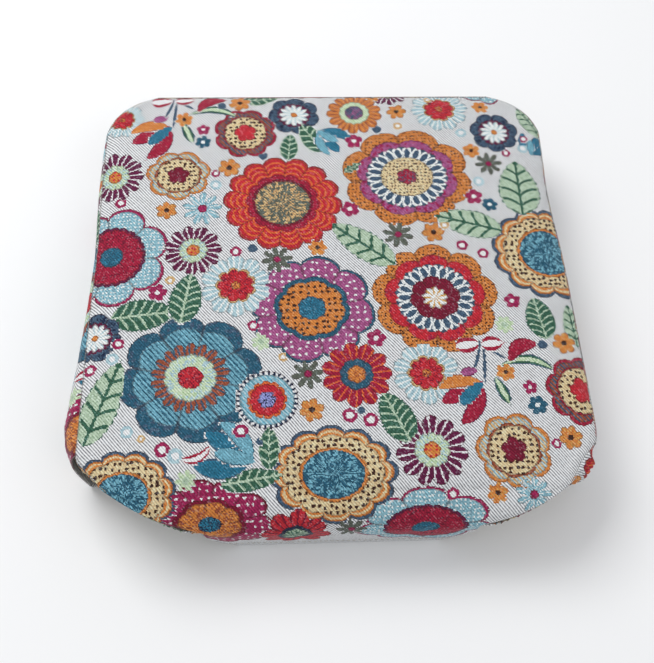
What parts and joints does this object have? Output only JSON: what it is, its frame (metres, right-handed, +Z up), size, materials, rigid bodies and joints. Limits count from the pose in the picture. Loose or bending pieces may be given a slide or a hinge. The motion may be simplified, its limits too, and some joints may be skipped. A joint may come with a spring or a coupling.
{
  "type": "chair seat pad",
  "caption": "Thin fitted chair seat pad with a floral tapestry cover, cut-back corners, elastic-hemmed skirts and a zip underneath.",
  "frame": {"origin": "middle of the pad's box, on the plane that the skirt hems stand on", "axes": "+X to the right seen from in front of the chair, +Y towards the chair's back, +Z up out of the seat"},
  "size_m": [0.418, 0.404, 0.0774],
  "materials": {
    "tapestry": "jacquard twill tapestry, matt",
    "lining": "plain woven cotton lining",
    "foam": "open-cell polyurethane foam",
    "wadding": "bonded polyester wadding",
    "elastic": "braided white elastic cord",
    "zip_tape": "woven polyester tape",
    "zip_nylon": "nylon coil",
    "zip_metal": "nickel-plated zinc"
  },
  "bodies": {
    "root": {"top_panel": "tapestry", "side_skirt_left": "tapestry", "side_skirt_right": "tapestry", "back_skirt": "tapestry", "front_gusset_left": "tapestry", "front_gusset_right": "tapestry", "back_gusset_left": "tapestry", "back_gusset_right": "tapestry", "foam_core": "foam", "wadding_sheet": "wadding", "base_panel_front": "lining", "base_panel_rear": "lining", "hem_elastic_left": "elastic", "hem_elastic_right": "elastic", "hem_elastic_back": "elastic", "hem_elastic_front": "elastic", "zip_tape_front": "zip_tape", "zip_tape_rear": "zip_tape", "zip_teeth_front": "zip_nylon", "zip_teeth_rear": "zip_nylon", "zip_stop_left": "zip_metal", "zip_stop_right": "zip_metal"},
    "zip_slider": {"zip_slider": "zip_metal"},
    "zip_pull_tab": {"zip_pull_tab": "zip_metal"}
  },
  "joints": [
    {"name": "zip_run", "type": "slide", "parent": "root", "child": "zip_slider", "axis": [1, 0, 0], "range_m": [0, 0.286]},
    {"name": "pull_tab_hinge", "type": "hinge", "parent": "zip_slider", "child": "zip_pull_tab", "pos_m": [-0.143, 0.14, 0.04205], "axis": [0, 1, 0], "range_deg": [-170, 0]}
  ]
}
